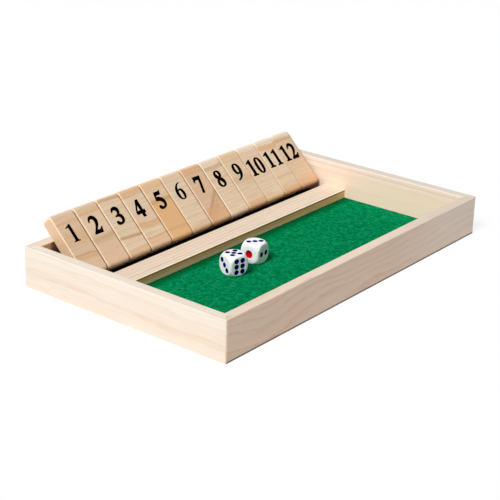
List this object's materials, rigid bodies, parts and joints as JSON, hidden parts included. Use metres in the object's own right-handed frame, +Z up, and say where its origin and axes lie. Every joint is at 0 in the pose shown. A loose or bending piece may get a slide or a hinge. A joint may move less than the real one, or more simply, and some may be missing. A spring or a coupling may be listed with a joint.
{
  "type": "flip-tile dice game",
  "caption": "Shallow open wooden tray game with a felt dice well, numbered tiles that flip on a rod onto a divider rail, and loose rounded dice.",
  "frame": {"origin": "centre of the tray's underside, on the surface that it stands on", "axes": "+X along the tile row from the lowest tile to the highest, +Y from the player's side to the tiles, +Z up"},
  "size_m": [0.31, 0.1878, 0.0482],
  "materials": {
    "pine": "sanded, matt clear coat",
    "plywood": "raw, sanded",
    "tile_wood": "satin clear coat",
    "felt": "pressed felt",
    "steel": "bright drawn",
    "dice_plastic": "polished"
  },
  "bodies": {
    "tray": {"front_wall": "pine", "back_wall": "pine", "left_end_wall": "pine", "right_end_wall": "pine", "base_panel": "plywood", "felt_mat": "felt", "divider_rail": "pine", "tile_rod": "steel"},
    "tile_01": {"tile_01": "tile_wood"},
    "tile_02": {"tile_02": "tile_wood"},
    "tile_03": {"tile_03": "tile_wood"},
    "tile_04": {"tile_04": "tile_wood"},
    "tile_05": {"tile_05": "tile_wood"},
    "tile_06": {"tile_06": "tile_wood"},
    "tile_07": {"tile_07": "tile_wood"},
    "tile_08": {"tile_08": "tile_wood"},
    "tile_09": {"tile_09": "tile_wood"},
    "tile_10": {"tile_10": "tile_wood"},
    "tile_11": {"tile_11": "tile_wood"},
    "tile_12": {"tile_12": "tile_wood"},
    "die_left": {"die_left": "dice_plastic"},
    "die_right": {"die_right": "dice_plastic"}
  },
  "joints": [
    {"name": "tile_01_flip", "type": "hinge", "parent": "tray", "child": "tile_01", "pos_m": [-0.12335, 0.0611, 0.01505], "axis": [1, 0, 0], "range_deg": [0, 135.1]},
    {"name": "tile_02_flip", "type": "hinge", "parent": "tray", "child": "tile_02", "pos_m": [-0.10013, 0.0611, 0.01505], "axis": [1, 0, 0], "range_deg": [0, 135.1]},
    {"name": "tile_03_flip", "type": "hinge", "parent": "tray", "child": "tile_03", "pos_m": [-0.07691, 0.0611, 0.01505], "axis": [1, 0, 0], "range_deg": [0, 135.1]},
    {"name": "tile_04_flip", "type": "hinge", "parent": "tray", "child": "tile_04", "pos_m": [-0.05369, 0.0611, 0.01505], "axis": [1, 0, 0], "range_deg": [0, 135.1]},
    {"name": "tile_05_flip", "type": "hinge", "parent": "tray", "child": "tile_05", "pos_m": [-0.03047, 0.0611, 0.01505], "axis": [1, 0, 0], "range_deg": [0, 135.1]},
    {"name": "tile_06_flip", "type": "hinge", "parent": "tray", "child": "tile_06", "pos_m": [-0.00725, 0.0611, 0.01505], "axis": [1, 0, 0], "range_deg": [0, 135.1]},
    {"name": "tile_07_flip", "type": "hinge", "parent": "tray", "child": "tile_07", "pos_m": [0.01597, 0.0611, 0.01505], "axis": [1, 0, 0], "range_deg": [0, 135.1]},
    {"name": "tile_08_flip", "type": "hinge", "parent": "tray", "child": "tile_08", "pos_m": [0.03919, 0.0611, 0.01505], "axis": [1, 0, 0], "range_deg": [0, 135.1]},
    {"name": "tile_09_flip", "type": "hinge", "parent": "tray", "child": "tile_09", "pos_m": [0.06241, 0.0611, 0.01505], "axis": [1, 0, 0], "range_deg": [0, 135.1]},
    {"name": "tile_10_flip", "type": "hinge", "parent": "tray", "child": "tile_10", "pos_m": [0.08563, 0.0611, 0.01505], "axis": [1, 0, 0], "range_deg": [0, 135.1]},
    {"name": "tile_11_flip", "type": "hinge", "parent": "tray", "child": "tile_11", "pos_m": [0.10885, 0.0611, 0.01505], "axis": [1, 0, 0], "range_deg": [0, 135.1]},
    {"name": "tile_12_flip", "type": "hinge", "parent": "tray", "child": "tile_12", "pos_m": [0.13207, 0.0611, 0.01505], "axis": [1, 0, 0], "range_deg": [0, 135.1]},
    {"name": "die_left_lift", "type": "slide", "parent": "tray", "child": "die_left", "axis": [0, 0, 1], "range_m": [0, 0.06]},
    {"name": "die_right_lift", "type": "slide", "parent": "tray", "child": "die_right", "axis": [0, 0, 1], "range_m": [0, 0.06]}
  ]
}
